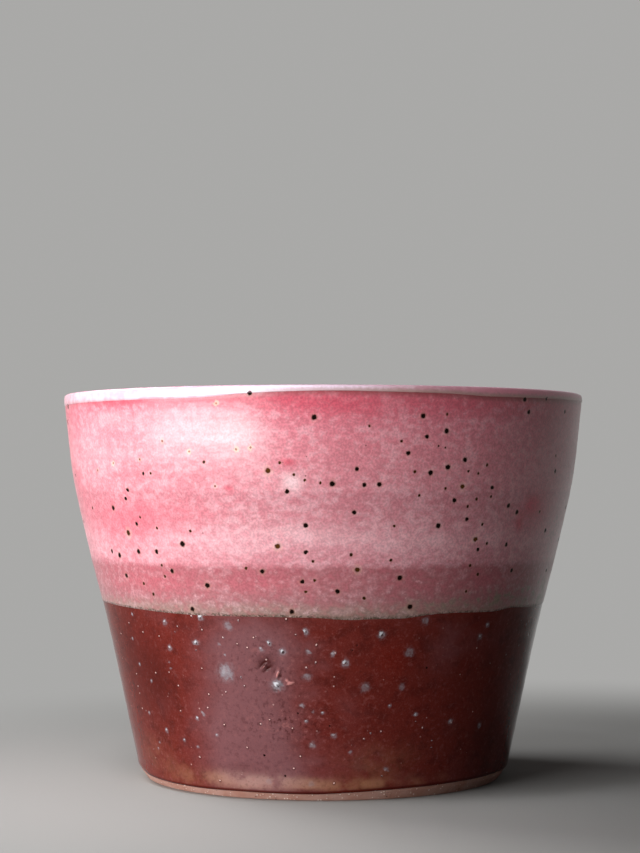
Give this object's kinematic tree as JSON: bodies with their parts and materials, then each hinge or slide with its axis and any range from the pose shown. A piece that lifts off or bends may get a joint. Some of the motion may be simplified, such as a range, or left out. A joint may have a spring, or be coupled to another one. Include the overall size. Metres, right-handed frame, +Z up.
{
  "type": "studio pottery bowl",
  "caption": "Deep flared bowl of thrown stoneware on a trimmed foot, speckled pink glaze lapped over a red-brown glaze below.",
  "frame": {"origin": "middle of the foot, on the surface that the bowl stands on", "axes": "+Z up, along the axis that the bowl was thrown about; -Y towards the side that the picture shows, +X to its right"},
  "size_m": [0.14, 0.14, 0.1023],
  "materials": {
    "bare_clay": "matt fired stoneware with fine grog",
    "pale_pink_glaze": "satin gloss, mottled",
    "pink_glaze": "satin gloss, mottled, with iron specks",
    "grey_olive_glaze": "satin gloss, speckled",
    "red_brown_glaze": "high gloss, with pinholes"
  },
  "bodies": {
    "root": {"clay_body": "bare_clay", "liner_glaze": "pale_pink_glaze", "pink_glaze": "pink_glaze", "lap_bead": "grey_olive_glaze", "red_brown_glaze": "red_brown_glaze"}
  },
  "joints": []
}
